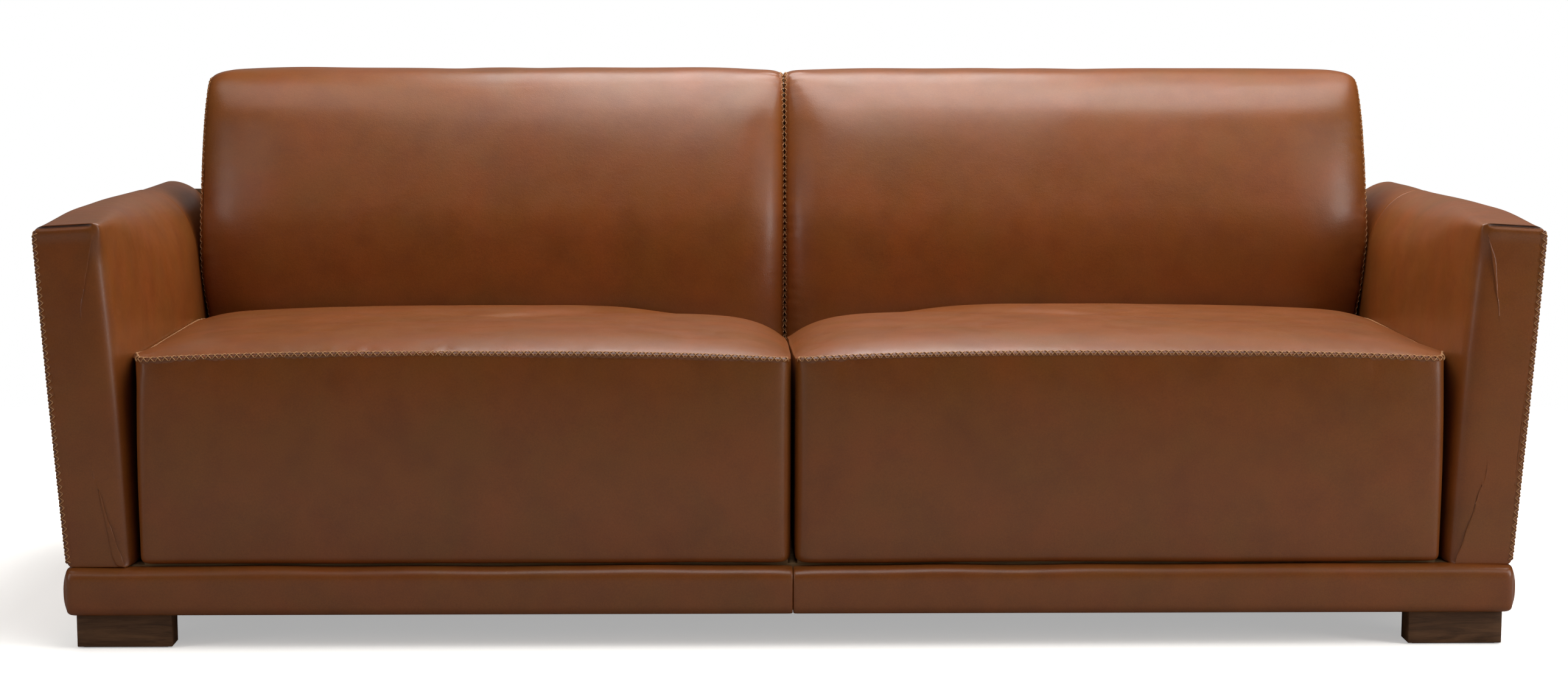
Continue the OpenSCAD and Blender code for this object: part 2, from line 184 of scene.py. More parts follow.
def new_object(name, points, faces, smooth=True):
    mesh = bpy.data.meshes.new(name)
    mesh.from_pydata([], [], [])
    mesh.vertices.add(len(points))
    mesh.vertices.foreach_set("co", np.ascontiguousarray(points, np.float32).ravel())
    sizes = np.full(len(faces), faces.shape[1])
    flat = faces.ravel()
    mesh.loops.add(len(flat))
    mesh.loops.foreach_set("vertex_index", flat.astype(np.int32))
    mesh.polygons.add(len(sizes))
    mesh.polygons.foreach_set("loop_start", np.concatenate([[0], np.cumsum(sizes)[:-1]]).astype(np.int32))
    mesh.polygons.foreach_set("use_smooth", np.full(len(sizes), smooth))
    mesh.update(calc_edges=True)
    piece = bpy.data.objects.new(name, mesh)
    bpy.context.scene.collection.objects.link(piece)
    return piece


def points_of(mesh):
    flat = np.empty(len(mesh.vertices) * 3, np.float32)
    mesh.vertices.foreach_get("co", flat)
    return flat.reshape(-1, 3).astype(float)


def move_points(mesh, points):
    mesh.vertices.foreach_set("co", np.ascontiguousarray(points, np.float32).ravel())
    mesh.update()


def normals_of(mesh):
    flat = np.empty(len(mesh.vertices) * 3, np.float32)
    mesh.vertices.foreach_get("normal", flat)
    return flat.reshape(-1, 3).astype(float)


def subdivide(piece):
    """Applies a subdivision surface. The first points stay in their order."""
    modifier = piece.modifiers.new("smooth", "SUBSURF")
    modifier.levels = modifier.render_levels = SMOOTH_LEVELS
    graph = bpy.context.evaluated_depsgraph_get()
    smoothed = bpy.data.meshes.new_from_object(piece.evaluated_get(graph))
    piece.modifiers.clear()
    piece.data = smoothed
    smoothed.polygons.foreach_set("use_smooth", np.full(len(smoothed.polygons), True))
    return piece


def finish_piece(piece, material, nodes=()):
    """What every piece of the sofa gets: its finish and its body. The CAD parts it stands for are hidden."""
    piece.data.materials.clear()
    piece.data.materials.append(material)
    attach(piece, "root")
    if nodes:
        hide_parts(*nodes)


# ---- cloth ---------------------------------------------------------------------------

CLOTH_FRAMES = 16
TWIN_STEP = 19 * MM
EASING_ROUNDS = 3


class Pad:
    """A padded form on a fine lattice, and its coarse twin that the cloth solver swells."""

    def __init__(self, name, sizes, shape, edges, middle, flipped):
        self.name, self.shape, self.flipped = name, shape, flipped
        self.fine = Lattice(*[steps(size, edge, middle) for size, edge in zip(sizes, edges)])
        self.coarse = Lattice(*[steps(size, (9 * MM,), TWIN_STEP) for size in sizes])
        self.swelling = 0

    def start(self, held, pressure, slack):
        """Puts the coarse twin in the scene, ready to swell. held gives 0 to 1 per point."""
        self.at_rest = self.shape(self.coarse.uvw)
        self.twin = new_object(self.name + "_twin", self.at_rest, self.coarse.faces(self.flipped))
        group = self.twin.vertex_groups.new(name="pinned")
        for i, weight in enumerate(held(self.coarse.uvw)):
            group.add([i], float(weight), "REPLACE")
        cloth = self.twin.modifiers.new("cloth", "CLOTH").settings
        cloth.quality = 5
        cloth.mass = 0.35
        cloth.air_damping = 3
        cloth.tension_stiffness = cloth.compression_stiffness = 30
        cloth.shear_stiffness = 12
        cloth.bending_stiffness = 5
        cloth.use_pressure = True
        cloth.uniform_pressure_force = pressure
        cloth.shrink_min = -slack
        cloth.vertex_group_mass = "pinned"
        cloth.effector_weights.gravity = 0

    def stop(self, cap):
        """Reads the swollen twin, keeps how far each point moved up to a cap, and removes it.

        The moves are eased between neighbours, which keeps the folds and drops the buckles.
        """
        graph = bpy.context.evaluated_depsgraph_get()
        moved = points_of(self.twin.evaluated_get(graph).data) - self.at_rest
        length = np.linalg.norm(moved, axis=1, keepdims=True)
        moved *= cap * np.tanh(length / cap) / np.maximum(length, 1e-9)
        edges = np.empty(len(self.twin.data.edges) * 2, np.int32)
        self.twin.data.edges.foreach_get("vertices", edges)
        a, b = edges.reshape(-1, 2).T
        count = np.bincount(edges, minlength=len(moved))[:, None]
        for _ in range(EASING_ROUNDS):
            around = np.zeros_like(moved)
            np.add.at(around, a, moved[b])
            np.add.at(around, b, moved[a])
            moved = (moved + around / count) / 2
        self.swelling = self.coarse.carried(moved, self.fine)
        bpy.data.objects.remove(self.twin)

    def piece(self):
        points = self.shape(self.fine.uvw) + self.swelling
        return new_object(self.name, points, self.fine.faces(self.flipped))


def swell(pads, caps):
    """Steps the cloth solver over every pad that has been started."""
    for number in range(1, CLOTH_FRAMES + 1):
        bpy.context.scene.frame_set(number)
    for pad, cap in zip(pads, caps):
        pad.stop(cap)
    bpy.context.scene.frame_set(1)


def seat_held(uvw):
    """The top and the front swell between their seams. The hidden sides stay."""
    rim = np.sort(np.abs(uvw), axis=1)[:, 1]
    loose = (uvw[:, 2] > ON_END) | (uvw[:, 1] < -ON_END)
    return np.where(loose, smoothstep(0.86, 1, rim), 1)


def back_held(uvw):
    """The face swells over the top in one piece, between the two side seams."""
    loose = (uvw[:, 0] < -ON_END) | (uvw[:, 1] > ON_END)
    held = np.maximum(smoothstep(0.93, 1, np.abs(uvw[:, 2])), smoothstep(0.80, 1, -uvw[:, 1]))
    return np.where(loose, np.maximum(held, smoothstep(0.6, 1, uvw[:, 0])), 1)


def arm_held(uvw):
    """The inner side swells up to the top, away from the face and the joint behind."""
    loose = uvw[:, 1] < -ON_END
    held = np.maximum(smoothstep(0.80, 1, np.abs(uvw[:, 2])), smoothstep(0.75, 1, np.abs(uvw[:, 0])))
    return np.where(loose, held, 1)


# ---- the cushions' forms -------------------------------------------------------------
# Each form is worked out for the right side; the left one is its mirror image, with lumps
# and creases of its own.

SEAT_FRONT_R, SEAT_REAR_R = 25 * MM, 30 * MM
SEAM_Z_END, SEAM_Z_RISE, SEAM_Z_DROP = 0.4270, 10 * MM, 12 * MM
SEAM_DROP_END = 0.7         # where the seam has dropped, in halves of the seat's depth
VALLEY_SLOPE, VALLEY_CURVE, VALLEY_START = 0.054, 0.095, 0.28       # the dip between the seats
SEAT_BELLY = 4.5 * MM
SEAT_INNER_GAP = 1.5 * MM
SEAT_CORNER = 7 * MM        # how far a front corner swells out below its seam
SEAT_FADES = {              # how a seat's top falls off: near, far, and the near one's share
    "front": (40 * MM, 145 * MM, 0.6),
    "rear": (40 * MM, 160 * MM, 0.6),
    "inner": (35 * MM, 160 * MM, 0.69),
    "outer": (38 * MM, 150 * MM, 0.65),
}
CROWN_Z = {-1: 0.4560, 1: 0.4590}
UNDER_R = 9 * MM            # rounding along the lower edges
SEAT_TO_ARM = 20 * MM       # how far the seat's top spreads sideways behind its front corner
BACK_TURN_Z = 0.44          # height where the back starts to recline
BACK_CURVE = 0.506
BACK_TUCK = 26 * MM         # how far the back's face draws in behind the seat
INNER_ROLL, OUTER_ROLL = 92 * MM, 130 * MM          # from a back cushion's face into its seams
INNER_DEPTH, OUTER_DEPTH = 44 * MM, 42 * MM
BACK_HIDDEN_DEPTH = 15 * MM                         # the same rolls on the hidden sides
BACK_TUCK_Z = (0.40, 0.60)  # heights between which the tuck runs out
BACK_FOOT_Z = (0.40, 0.47)  # heights between which a back needs more room beside the arm
TOP_FRONT_Y, TOP_FRONT_Z = 120 * MM, 84 * MM        # the big roll over a back's top
BACK_REAR_R, BACK_UNDER_R = 40 * MM, 20 * MM
BACK_TOP_INNER, BACK_TOP_OUTER = 26 * MM, 44 * MM   # rolls from the top into the seams
SEAM_INNER_X, SEAM_OUTER_X = 2.8 * MM, {-1: 0.986, 1: 0.990}
WALL_TOP = corners("wall_top_pad")[1][2]
ARM_LOW, ARM_HIGH = corners("arm_cover_right")
ARM_FACE_Y = corners("arm_facing_right")[0][1]
ARM_THICK = 98 * MM
ARM_BELLY = 4 * MM
ARM_FRONT_ROLL = 30 * MM    # roll from an arm's inner side into its face
ARM_TOP_ROLL = 9 * MM       # the same roll just below the arm's top
ARM_RISE = 1.5 * MM         # how far the leather stands above the arm's solid
ARM_TILT = 5.5 * MM         # how much lower the outer side of its top is, in front
ARM_UNDER = 1.2 * MM        # how far the leather reaches below the arm's solid
ARM_OUTER_R, ARM_LOW_R = 18 * MM, 8 * MM
ARM_INNER_R = (11 * MM, 76 * MM)        # its inner top edge is sharp in front and broad behind,
ARM_INNER_R_Z = (9 * MM, 104 * MM)      # across and in height
ARM_JOINT = 4 * MM          # rounding where the arm and its wing meet
SLIT_LIP = 3 * MM           # how far the arm's top hangs over its face
SLIT_BELOW = 2.6 * MM       # from the arm's top down to the slit


def puff(uvw, power):
    """How far a cap stands out of its rim, from 0 at the rim to 1 in the middle."""
    return (1 - np.abs(uvw[:, 0]) ** power) * (1 - np.abs(uvw[:, 1]) ** power)


def roll(distance, radius):
    """How far a round edge has turned away, from 0 at its start to 1 at its end."""
    t = np.clip(1 - distance / radius, 0, 1)
    return 1 - np.sqrt(1 - t * t)


def bell(x, width):
    return np.exp(-((x / width) ** 2))


def fade(distance, near, far, share):
    """Falls from 1 to 0 with distance, quickly at first and then slowly."""
    return share * np.exp(-distance / near) + (1 - share) * np.exp(-distance / far)


def shaped(form, side, *args):
    """A form as a function of u, v, w alone, mirrored for the left side."""
    return lambda uvw: form(uvw, side, *args) * [side, 1, 1]


def seat_form(uvw, side):
    low, high = corners("seat_cushion_right")
    half, centre = (high - low) / 2, (high + low) / 2
    a, b, share = ring_of(uvw)
    radius = np.where(b < 0, SEAT_FRONT_R, SEAT_REAR_R)
    q, out = rounded(a, b, half[0], half[1], radius, radius)
    depth = (b + 1) * half[1]
    drop = SEAM_Z_DROP * smoothstep(0, SEAM_DROP_END, b + 1)
    valley = VALLEY_SLOPE * depth + VALLEY_CURVE * np.maximum(depth - VALLEY_START, 0) ** 2 - drop
    seam_z = SEAM_Z_END + SEAM_Z_RISE * (1 - np.abs(a) ** 3) - drop
    seam_z = seam_z - valley * smoothstep(0.4, 1, -a)
    height = (uvw[:, 2] + 1) / 2
    z = mix(low[2], seam_z, height)
    along = np.minimum(np.abs(a), np.abs(b))
    belly = SEAT_BELLY * (1 - along ** 6) * np.sin(np.pi * height) ** 0.8
    belly = belly * np.where(a < -ON_END, 0.4, 1.0)
    inset = UNDER_R * roll(z - low[2], UNDER_R)
    q = q + out * (belly - inset)[:, None]
    behind = smoothstep(15 * MM, 110 * MM, q[:, 1] + half[1])
    outwards = SEAT_TO_ARM * smoothstep(0.8, 1, a) - SEAT_INNER_GAP * smoothstep(0.8, 1, -a)
    q[:, 0] += height ** 1.5 * behind * outwards
    in_front = 1 - smoothstep(0, 24 * MM, q[:, 1] + half[1])
    q[:, 0] += in_front * smoothstep(0.5, 1, a) * SEAT_CORNER * (1 - height ** 5)
    q = q * share[:, None]
    x, y = q[:, 0] + centre[0], q[:, 1] + centre[1]
    level = 1 - (
        (1 - fade(np.maximum(y - low[1], 0), *SEAT_FADES["front"]))
        * (1 - fade(np.maximum(high[1] - y, 0), *SEAT_FADES["rear"]))
        * (1 - fade(np.maximum(x - low[0], 0), *SEAT_FADES["inner"]))
        * (1 - fade(np.maximum(high[0] + SEAT_TO_ARM - x, 0), *SEAT_FADES["outer"]))
    )
    top = CROWN_Z[side] - (CROWN_Z[side] - seam_z) * np.where(share < 1, level, 1)
    z = np.where(uvw[:, 2] > ON_END, top, z)
    return np.stack([x, y, z], 1)


def back_face_y(z, low_y):
    tucked = BACK_TUCK * (1 - smoothstep(*BACK_TUCK_Z, z))
    return low_y + BACK_CURVE * np.maximum(z - BACK_TURN_Z, 0) ** 1.5 + tucked


def back_rear_y(z, high_y):
    return high_y - 18 * MM * (1 - smoothstep(WALL_TOP - 15 * MM, WALL_TOP + 25 * MM, z))


def back_form(uvw, side):
    low, high = corners("back_cushion_right")
    half, centre = (high - low) / 2, (high + low) / 2
    a, b, share = ring_of(uvw)
    top = b > 0
    radius_y = np.where(top, np.where(a < 0, TOP_FRONT_Y, BACK_REAR_R), BACK_UNDER_R)
    radius_z = np.where(top, np.where(a < 0, TOP_FRONT_Z, BACK_REAR_R), BACK_UNDER_R)
    q, out = rounded(a, b, half[1], half[2], radius_y, radius_z)
    z = q[:, 1] + centre[2]
    y = mix(back_face_y(z, low[1]), back_rear_y(z, high[1]), q[:, 0] / half[1] / 2 + 0.5)
    room = 3 * MM + 3 * MM * (1 - smoothstep(*BACK_FOOT_Z, z))
    seam_x = np.minimum(SEAM_OUTER_X[side], arm_inner_x(z) - room)
    x = mix(SEAM_INNER_X, seam_x, (uvw[:, 2] + 1) / 2)
    inner, outer = roll(x - SEAM_INNER_X, INNER_ROLL), roll(seam_x - x, OUTER_ROLL)
    top_inner, top_outer = roll(x - SEAM_INNER_X, BACK_TOP_INNER), roll(seam_x - x, BACK_TOP_OUTER)
    on_face = INNER_DEPTH * inner + OUTER_DEPTH * outer
    across = np.where(out[:, 0] < 0, on_face, BACK_HIDDEN_DEPTH * (inner + outer))
    up = np.where(out[:, 1] > 0, 8 * MM * top_inner + 16 * MM * top_outer, 8 * MM * (inner + outer))
    y = y - out[:, 0] * across
    edge_distance = np.minimum(x - SEAM_INNER_X, seam_x - x)
    settle = 3 * MM * (1 - smoothstep(0, 170 * MM, edge_distance))
    z = z - out[:, 1] * up - np.maximum(out[:, 1], 0) * settle
    middle_y, middle_z = mix(low[1], high[1], 0.62), centre[2]
    y, z = mix(middle_y, y, share), mix(middle_z, z, share)
    bulge = 7 * MM * puff(uvw, 11) + 2 * MM * puff(uvw, 2.6)
    bulge = bulge * smoothstep(ARM_HIGH[2] - 40 * MM, ARM_HIGH[2] + 40 * MM, z)
    pressed = 2.7 * MM * puff(uvw, 12)
    x = x + np.where(uvw[:, 2] > ON_END, bulge, 0) - np.where(uvw[:, 2] < -ON_END, pressed, 0)
    return np.stack([x, y, z], 1)


def slit(across, below):
    """How open the slit under an arm's top is. across runs from the arm's middle plane outward."""
    inner_end = ARM_TOP_ROLL - ARM_THICK / 2
    reach = smoothstep(inner_end, inner_end + 7 * MM, across)
    reach = reach * (1 - 0.8 * smoothstep(ARM_THICK / 2 - 7 * MM, ARM_THICK / 2, across))
    return reach, reach * bell(below - SLIT_BELOW, 1.6 * MM)


def arm_middle_x(z):
    height = np.clip((z - ARM_LOW[2]) / (ARM_HIGH[2] - ARM_LOW[2]), 0, 1)
    return mix(ARM_LOW[0], ARM_HIGH[0] - ARM_THICK, height) + ARM_THICK / 2


def arm_inner_x(z):
    height = np.clip((z - ARM_LOW[2]) / (ARM_HIGH[2] - ARM_LOW[2]), 0, 1)
    return arm_middle_x(z) - ARM_THICK / 2 - ARM_BELLY * np.sin(np.pi * height)


def arm_tilt(across, depth):
    """How much lower the arm's top is towards its outer side, near the front."""
    return ARM_TILT * (across / ARM_THICK + 0.5) * (1 - smoothstep(0, 0.25, depth))


def slit_painted_shade(points, side):
    """Painted shade of the slit in an arm's face: how dark each point of the arm is there."""
    across = points[:, 0] * side - arm_middle_x(points[:, 2])
    below = ARM_HIGH[2] + ARM_RISE - 0.9 * MM - arm_tilt(across, 0) - points[:, 2]
    near_face = points[:, 1] < ARM_FACE_Y + 9 * MM
    return np.where(near_face & (below > 1.2 * MM), slit(across, below)[1], 0)


def arm_form(uvw, _side, start_y, stop_y, shrink):
    """Part of an arm from start_y to stop_y. Only the front part has a face with a slit."""
    a, b, share = ring_of(uvw)
    y = mix(start_y, stop_y, (uvw[:, 2] + 1) / 2)
    depth = y - ARM_FACE_Y
    low_z = ARM_LOW[2] - ARM_UNDER
    swayed = 4 * MM * smoothstep(0, 0.2, depth)
    high_z = ARM_HIGH[2] + ARM_RISE + swayed - 4.5 * MM * smoothstep(0.33, 0.70, depth)
    half_z = (high_z - low_z) / 2
    open_up = smoothstep(0.0, 0.50, depth)
    inner_radius = mix(*ARM_INNER_R, open_up)
    inner_top = (a > 0) & (b * ARM_THICK / 2 < inner_radius - ARM_THICK / 2)
    plain_radius = np.where(a > 0, ARM_OUTER_R, ARM_LOW_R)
    radius_z = np.where(inner_top, mix(*ARM_INNER_R_Z, open_up), plain_radius)
    radius_x = np.where(inner_top, inner_radius, plain_radius)
    q, out = rounded(a, b, half_z, ARM_THICK / 2, radius_z, radius_x)
    q = q - out * shrink
    z = q[:, 0] + (high_z + low_z) / 2
    height = np.clip((z - ARM_LOW[2]) / (ARM_HIGH[2] - ARM_LOW[2]), 0, 1)
    belly = np.where(out[:, 1] < 0, ARM_BELLY, 1 * MM) * np.sin(np.pi * height)
    joints = roll(stop_y - y, ARM_JOINT)
    if start_y < 0:
        radius = mix(ARM_FRONT_ROLL, ARM_TOP_ROLL, smoothstep(high_z - 60 * MM, high_z - 6 * MM, z))
        inward = -np.minimum(out[:, 1], 0) * radius * roll(depth, radius)
        crown = 3 * MM * (1 - smoothstep(0, 0.09, depth)) * np.maximum(out[:, 0], 0)
        z = z - crown * 0.3
        edge = np.maximum(out[:, 1], 0) * 2 * MM * roll(depth, 3 * MM)
    else:
        inward, edge = 0, 0
        joints = joints + roll(y - start_y, ARM_JOINT)
    x = q[:, 1] + out[:, 1] * belly + inward - edge - out[:, 1] * ARM_JOINT * joints
    z = z - out[:, 0] * ARM_JOINT * joints
    middle_z = (high_z + low_z) / 2
    x = mix(np.where((uvw[:, 2] < 0) & (start_y < 0), ARM_FRONT_ROLL / 2, 0), x, share)
    z = mix(middle_z, z, share)
    if start_y < 0:
        below = high_z - z
        reach, opened = slit(x, below)
        lip = -SLIT_LIP * bell(below, 1.2 * MM)
        gap = 6.5 * MM * opened
        puffed = -3.0 * MM * bell(below - 11 * MM, 9 * MM)
        on_face = uvw[:, 2] < -ON_END
        y = y + np.where(on_face, reach * (lip + puffed) + gap - 1.5 * MM * puff(uvw, 4), 0)
    lean = arm_middle_x(z)
    z = z - arm_tilt(x, depth) * smoothstep(high_z - 70 * MM, high_z, z)
    x = x + lean
    return np.stack([x, y, z], 1)


def plinth_front_form(uvw, side):
    """The right half of the front pad, whose face is at the low end of Y."""
    low, high = corners("plinth_front")
    half, centre = (high - low) / 2, (high + low) / 2
    a, b, share = ring_of(uvw)
    radius_y = np.where(a < 0, 15 * MM, 3 * MM)
    radius_z = np.where(a < 0, np.where(b > 0, 15 * MM, 11 * MM), 3 * MM)
    q, out = rounded(a, b, half[1], half[2], radius_y, radius_z)
    x = mix(0.4 * MM, high[0] - 5 * MM, (uvw[:, 2] + 1) / 2)
    end = roll(high[0] - 5 * MM - x, 12 * MM)
    seam = roll(x, 4 * MM)
    inset = np.where(out[:, 0] < 0, 9 * MM, 3 * MM) * end + 2.6 * MM * seam
    waves = 1.6 * MM * noise(np.stack([x, q[:, 0], q[:, 1]], 1) * [1, 0.3, 0.3], 0.11, 5 + side)
    pinch = 2.5 * MM * np.exp(-x / (22 * MM)) * np.maximum(out[:, 1], 0)
    face = np.minimum(out[:, 0], 0) ** 2 * 1.5 * MM * (1 - (q[:, 1] / half[2]) ** 2)
    y = q[:, 0] - out[:, 0] * inset - face
    z = q[:, 1] - out[:, 1] * inset * 0.6 + np.maximum(out[:, 1], 0) * waves - pinch
    x = x + np.where(uvw[:, 2] > ON_END, 6 * MM * puff(uvw, 2.5), 0)
    return np.stack([x, y * share + centre[1], z * share + centre[2]], 1)


def plinth_side_form(uvw, side):
    low, high = corners("plinth_right")
    half, centre = (high - low) / 2, (high + low) / 2
    a, b, share = ring_of(uvw)
    radius_z = np.where(b > 0, np.where(a > 0, 15 * MM, 11 * MM), 3 * MM)
    radius_x = np.where(b > 0, 15 * MM, 3 * MM)
    q, out = rounded(a, b, half[2], half[0], radius_z, radius_x)
    y = mix(low[1] + 0.5 * MM, high[1], (uvw[:, 2] + 1) / 2)
    inset = 5 * MM * roll(y - low[1], 8 * MM) + 10 * MM * roll(high[1] - y, 14 * MM)
    waves = 1.4 * MM * noise(np.stack([q[:, 1] * 0.3, y, q[:, 0] * 0.3], 1), 0.1, 15 + side)
    z = q[:, 0] - out[:, 0] * inset * 0.6 + np.maximum(out[:, 0], 0) * waves
    x = q[:, 1] - out[:, 1] * inset + np.maximum(out[:, 1], 0) * 1.5 * MM
    return np.stack([x * share + centre[0], y, z * share + centre[2]], 1)


def slab_form(uvw, _side, node, radius, belly, top_drop):
    """A thin upholstered panel with soft edges, in the place of an upright CAD panel."""
    low, high = corners(node)
    half, centre = (high - low) / 2, (high + low) / 2
    a, b, share = ring_of(uvw)
    q, out = rounded(a, b, half[2], half[0], radius, radius)
    edge = roll((1 - np.abs(uvw[:, 2])) * half[1], half[1])
    q = (q - out * (edge * half[1] * 0.8)[:, None]) * share[:, None]
    on_cap = np.abs(uvw[:, 2]) > ON_END
    y = uvw[:, 2] * half[1] + np.sign(uvw[:, 2]) * belly * puff(uvw, 3) * on_cap
    x = q[:, 1] + centre[0]
    drop = top_drop * (1 - bell(ARM_HIGH[0] - np.abs(x), 0.06))
    z = q[:, 0] - drop * (q[:, 0] / half[2] + 1) / 2
    return np.stack([x, y + centre[1], z + centre[2]], 1)


# ---- seams ---------------------------------------------------------------------------

RAIL_STEPS = 3              # grid steps from a seam to the rail that gives its direction
ROLL_RISE = 0.95 * MM       # height of a hem's two rolled edges
THREAD_ARCH = 1.35 * MM     # height of a thread in the middle of its stitch
THREAD_LIFT = 0.55 * MM     # how much higher the upper thread of a cross runs
WALK = (-7.5, -6.0, -4.6, -3.6, -2.6, -1.7, -0.8, 0.0, 0.8, 1.7, 2.6, 3.6, 4.6, 6.0, 7.5)


class Seam:
    """A line where two panels meet, resampled so that every stitch has the same length."""

    def __init__(self, pad, piece, ring, end):
        """ring is a list of u, v grid places along an edge of the cap at that end of the drum."""
        at = points_of(piece.data)
        last_u, last_v = pad.fine.ids.shape[0] - 1, pad.fine.ids.shape[1] - 1
        u, v = np.array(ring).T
        k, k_side = (0, RAIL_STEPS) if end < 0 else (-1, -1 - RAIL_STEPS)
        cap_u = np.clip(u, RAIL_STEPS, last_u - RAIL_STEPS)
        cap_v = np.clip(v, RAIL_STEPS, last_v - RAIL_STEPS)
        lines = [at[pad.fine.ids[u, v, k]],
                 at[pad.fine.ids[cap_u, cap_v, k]],
                 at[pad.fine.ids[u, v, k_side]]]
        length = np.concatenate([[0], np.cumsum(np.linalg.norm(np.diff(lines[0], axis=0), axis=1))])
        self.cells = int(length[-1] / PITCH)
        self.places = np.arange(self.cells * CELL_RINGS + 1) * SEAM_STEP
        self.edge, cap, wall = [
            np.stack([np.interp(self.places, length, line[:, i]) for i in range(3)], 1)
            for line in lines
        ]
        self.edge = eased(self.edge, 2)
        self.along = unit(np.gradient(self.edge, axis=0))
        self.to_cap = self.across(eased(cap, 6) - self.edge)
        self.to_wall = self.across(eased(wall, 6) - self.edge)
        self.skin = BVHTree.FromPolygons(at.tolist(), [tuple(p.vertices) for p in piece.data.polygons])
        self.cap_up, self.wall_up = self.facing(self.to_cap), self.facing(self.to_wall)

    def across(self, vectors):
        return unit(vectors - self.along * np.sum(vectors * self.along, axis=1, keepdims=True))

    def facing(self, way):
        """Which way the panel on one side of the seam faces."""
        up = [self.skin.find_nearest(Vector(p))[1] for p in self.edge + way * 5 * MM]
        return unit(eased(np.array(up), 6))

    def at(self, index, s):
        """Points on the skin and the way up there. s is the walk from the seam, negative on the cap."""
        way = np.where(s[:, None] < 0, self.to_cap[index], self.to_wall[index])
        start = self.edge[index] + way * np.abs(s)[:, None]
        found = [self.skin.find_nearest(Vector(p)) for p in start]
        points = np.array([hit[0] for hit in found])
        turn = smoothstep(-4 * MM, 4 * MM, s)[:, None]
        return points, unit(mix(self.cap_up[index], self.wall_up[index], turn))


def eased(line, rounds):
    """A line with its kinks smoothed. Its ends stay."""
    line = np.array(line, float)
    for _ in range(rounds):
        line[1:-1] = (line[:-2] + 2 * line[1:-1] + line[2:]) / 4
    return line


def grid_faces(rows, columns, first=0):
    index = np.arange(rows * columns).reshape(rows, columns) + first
    return np.stack([index[:-1, :-1], index[1:, :-1], index[1:, 1:], index[:-1, 1:]], -1).reshape(-1, 4)


def hem(seam):
    """The two rolled leather edges of a seam, pulled in at every stitch hole."""
    rings, width = len(seam.places), len(WALK)
    index = np.repeat(np.arange(rings), width)
    s = np.tile(np.array(WALK) * MM, rings)
    base, up = seam.at(index, s)
    phase = (index % CELL_RINGS) / CELL_RINGS
    at_hole = 0.5 + 0.5 * np.cos(2 * np.pi * phase)
    far = np.abs(s)
    rolled = ROLL_RISE * (1 - 0.42 * at_hole) * bell(far - 2.3 * MM, 1.5 * MM)
    groove = -0.5 * MM * bell(far, 0.9 * MM)
    dimple = -0.7 * MM * at_hole ** 4 * bell(far - STITCH, 1.0 * MM)
    flank = 0.75 * MM * (1 - smoothstep(3.5 * MM, 7.5 * MM, far)) - 0.35 * MM
    points = base + up * (rolled + groove + dimple + flank)[:, None]
    faces = grid_faces(rings, width)
    ways = np.cross(points[faces[:, 1]] - points[faces[:, 0]], points[faces[:, 3]] - points[faces[:, 0]])
    if np.sum(ways * up[faces[:, 0]]) < 0:
        faces = faces[:, ::-1]
    # painted shade: dark along the seam's groove and in each stitch hole
    dark = 0.85 * bell(far, 0.7 * MM) + 0.7 * at_hole ** 6 * bell(far - STITCH, 0.9 * MM)
    return points, faces, np.clip(dark, 0, 1)


def tubes(lines, ups, radius, sides=6):
    """Round threads along several lines that have the same number of points."""
    count, steps_along = lines.shape[0], lines.shape[1]
    along = unit(np.gradient(lines, axis=1))
    over = unit(np.cross(along, ups))
    rise = np.cross(over, along)
    turn = np.arange(sides) / sides * 2 * np.pi
    ring = over[:, :, None] * np.cos(turn)[:, None] + rise[:, :, None] * np.sin(turn)[:, None]
    points = (lines[:, :, None] + ring * radius).reshape(-1, 3)
    index = np.arange(steps_along * sides).reshape(steps_along, sides)
    beside = np.roll(index, -1, axis=1)
    quads = np.stack([index[:-1], beside[:-1], beside[1:], index[1:]], -1).reshape(-1, 4)
    every = quads[None] + (np.arange(count) * steps_along * sides)[:, None, None]
    return points, every.reshape(-1, 4)


def crosses(seam):
    """Two threads over each cell of a seam, one over the other."""
    share = np.linspace(0, 1, CELL_RINGS + 1)
    arch = THREAD_ARCH * np.sin(np.pi * share) ** 0.55 + 0.15 * MM
    arch[[0, -1]] = -1.0 * MM
    lines, ups = [], []
    for way, lift in ((1, 0.0), (-1, THREAD_LIFT)):
        cell = np.arange(seam.cells)[:, None]
        index = np.rint(cell * CELL_RINGS + share[None] * CELL_RINGS).astype(int).ravel()
        s = np.tile((share * 2 - 1) * way * STITCH, seam.cells)
        base, up = seam.at(index, s)
        height = np.tile(arch + lift * np.sin(np.pi * share), seam.cells)
        lines.append((base + up * height[:, None]).reshape(seam.cells, -1, 3))
        ups.append(up.reshape(seam.cells, -1, 3))
    return tubes(np.concatenate(lines), np.concatenate(ups), THREAD)


def merged(parts):
    """Several meshes in one list of points and one of faces, with any painted shade of theirs."""
    points, faces, marks, first = [], [], [], 0
    for part in parts:
        points.append(part[0])
        faces.append(part[1] + first)
        marks.append(part[2] if len(part) > 2 else np.zeros(len(part[0])))
        first += len(part[0])
    return np.concatenate(points), np.concatenate(faces), np.concatenate(marks)


def mark(piece, values):
    """Paints shade into a piece: how dark each point is, as in a seam's groove or an arm's slit. The leather
    reads it.
    """
    piece.data.attributes.new("painted_shade", "FLOAT", "POINT").data.foreach_set("value", values.astype(np.float32))


def stitch(name, seams):
    """The hem and the thread of several seams, as two pieces."""
    points, faces, dark = merged([hem(seam) for seam in seams])
    edge = new_object(name + "_hem", points, faces)
    mark(edge, dark)
    finish_piece(edge, leather)
    points, faces, _ = merged([crosses(seam) for seam in seams])
    finish_piece(new_object(name + "_thread", points, faces), thread)


